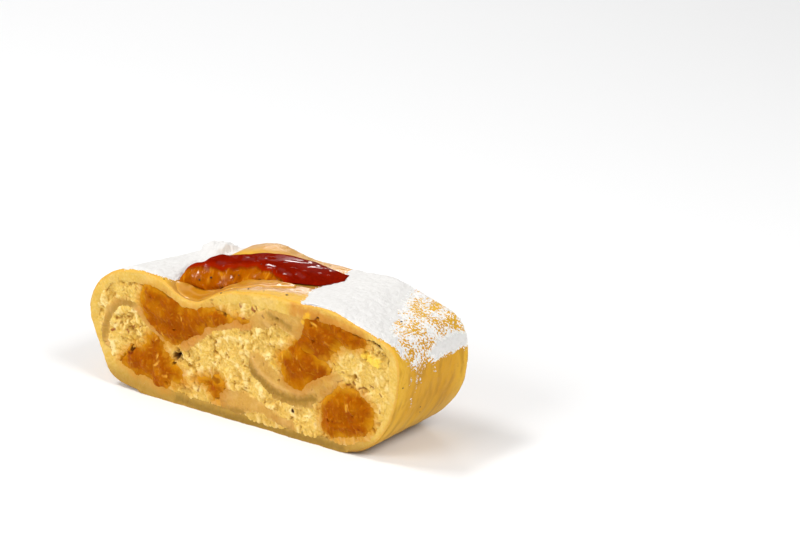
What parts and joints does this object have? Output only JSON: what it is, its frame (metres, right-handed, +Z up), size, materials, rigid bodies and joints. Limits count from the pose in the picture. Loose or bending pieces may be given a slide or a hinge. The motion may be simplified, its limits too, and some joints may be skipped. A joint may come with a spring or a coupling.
{
  "type": "apricot strudel slice",
  "caption": "Cut slice of apricot strudel: dough rolled round apricots and sweet crumb, with a baked apricot half and icing sugar on top.",
  "frame": {"origin": "middle of the flat base, under the centre of the slice's box", "axes": "+X runs across the slice from its left shoulder to its right flank, -Y is the front cut face that the picture shows, +Z is up"},
  "size_m": [0.1252, 0.037, 0.0484],
  "materials": {
    "outer_dough": "baked dough, matt to satin",
    "dough_arch": "soft dough, slightly moist",
    "dough_layer": "soft dough, slightly moist",
    "dough_fold": "soft dough, slightly moist",
    "dough_seam": "soft dough, slightly moist",
    "dough_patch": "soft dough, slightly moist",
    "apricot_upper_left": "cut fruit, moist",
    "apricot_lower_left": "cut fruit, moist",
    "apricot_small": "cut fruit, moist",
    "apricot_middle": "cut fruit, moist",
    "apricot_upper_right": "cut fruit, moist",
    "apricot_lower_right": "cut fruit, moist",
    "crumb_outer_left": "sweet crumb, matt",
    "crumb_inner_left": "sweet crumb, matt",
    "crumb_tongue": "sweet crumb, matt",
    "crumb_middle": "sweet crumb, matt",
    "crumb_top": "sweet crumb, matt",
    "crumb_lower": "sweet crumb, matt",
    "crumb_right": "sweet crumb, matt",
    "crumb_seam": "sweet crumb, matt",
    "apricot_top": "baked fruit under syrup, glossy",
    "sugar_left": "powder, matt",
    "sugar_right": "powder, matt"
  },
  "bodies": {
    "root": {"outer_dough": "outer_dough", "dough_arch": "dough_arch", "dough_layer": "dough_layer", "dough_fold": "dough_fold", "dough_seam": "dough_seam", "dough_patch": "dough_patch", "apricot_upper_left": "apricot_upper_left", "apricot_lower_left": "apricot_lower_left", "apricot_small": "apricot_small", "apricot_middle": "apricot_middle", "apricot_upper_right": "apricot_upper_right", "apricot_lower_right": "apricot_lower_right", "crumb_outer_left": "crumb_outer_left", "crumb_inner_left": "crumb_inner_left", "crumb_tongue": "crumb_tongue", "crumb_middle": "crumb_middle", "crumb_top": "crumb_top", "crumb_lower": "crumb_lower", "crumb_right": "crumb_right", "crumb_seam": "crumb_seam", "apricot_top": "apricot_top", "sugar_left": "sugar_left", "sugar_right": "sugar_right"}
  },
  "joints": []
}
